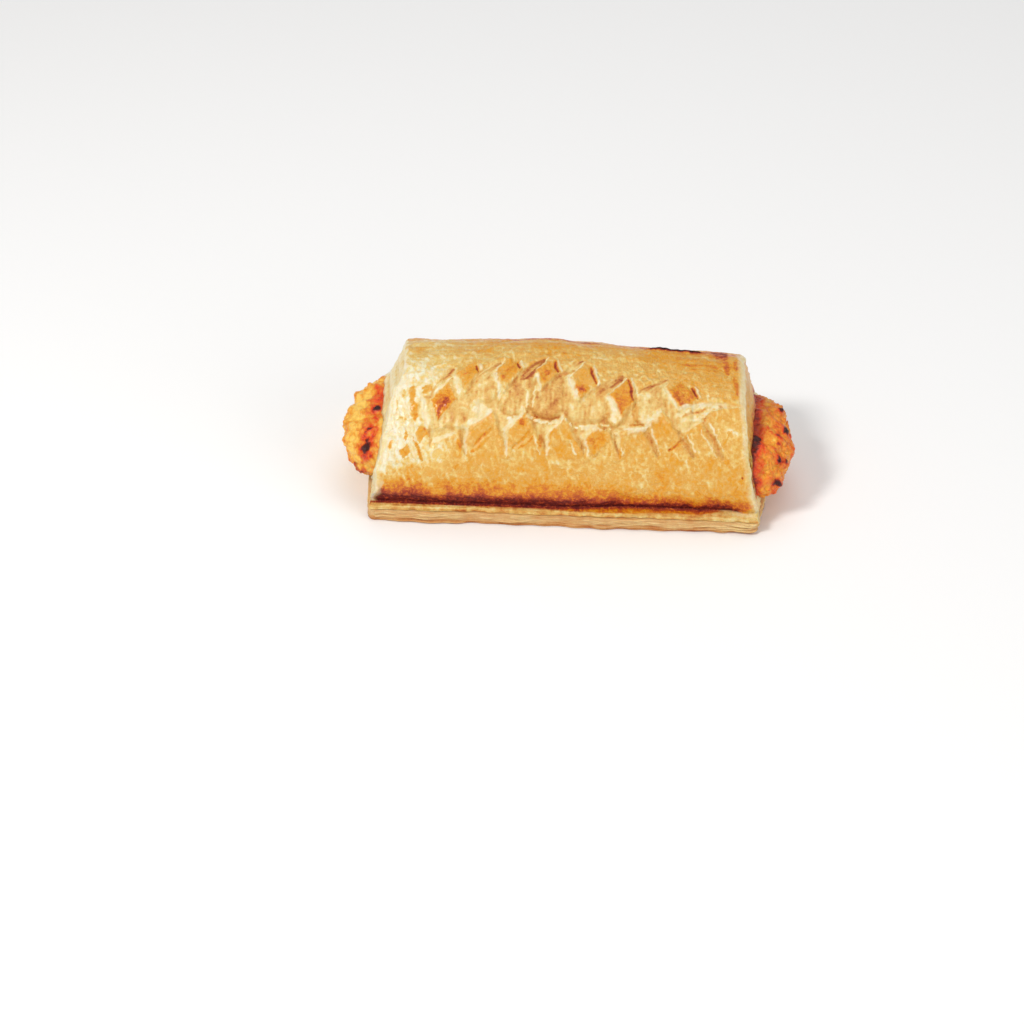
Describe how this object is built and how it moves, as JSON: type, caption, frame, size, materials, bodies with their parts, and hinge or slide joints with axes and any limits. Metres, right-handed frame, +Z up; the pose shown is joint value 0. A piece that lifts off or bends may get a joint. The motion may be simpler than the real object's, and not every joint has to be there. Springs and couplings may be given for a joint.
{
  "type": "sausage puff pastry",
  "caption": "Oblong baked sausage roll: an arched, lattice-scored puff pastry sheet over a meat log that bulges out at both ends, pressed on a flat layered pastry base.",
  "frame": {"origin": "on the resting plane, below the middle of the roll's overall length and width", "axes": "+X along the roll towards its squarer end, -Y towards the seam side with the lattice, +Z up"},
  "size_m": [0.1603, 0.0737, 0.0471],
  "materials": {
    "base_pastry": "pale tan baked puff pastry with fine open layers along its edges",
    "crust": "egg-washed golden puff pastry, satin, browned at the seam and the score tips, creamy where scores opened",
    "filling": "moist roasted sausage meat, orange-brown with small dark burnt spots"
  },
  "bodies": {
    "root": {"pastry_base": "base_pastry", "pastry_cover": "crust", "sausage_filling": "filling"}
  },
  "joints": []
}
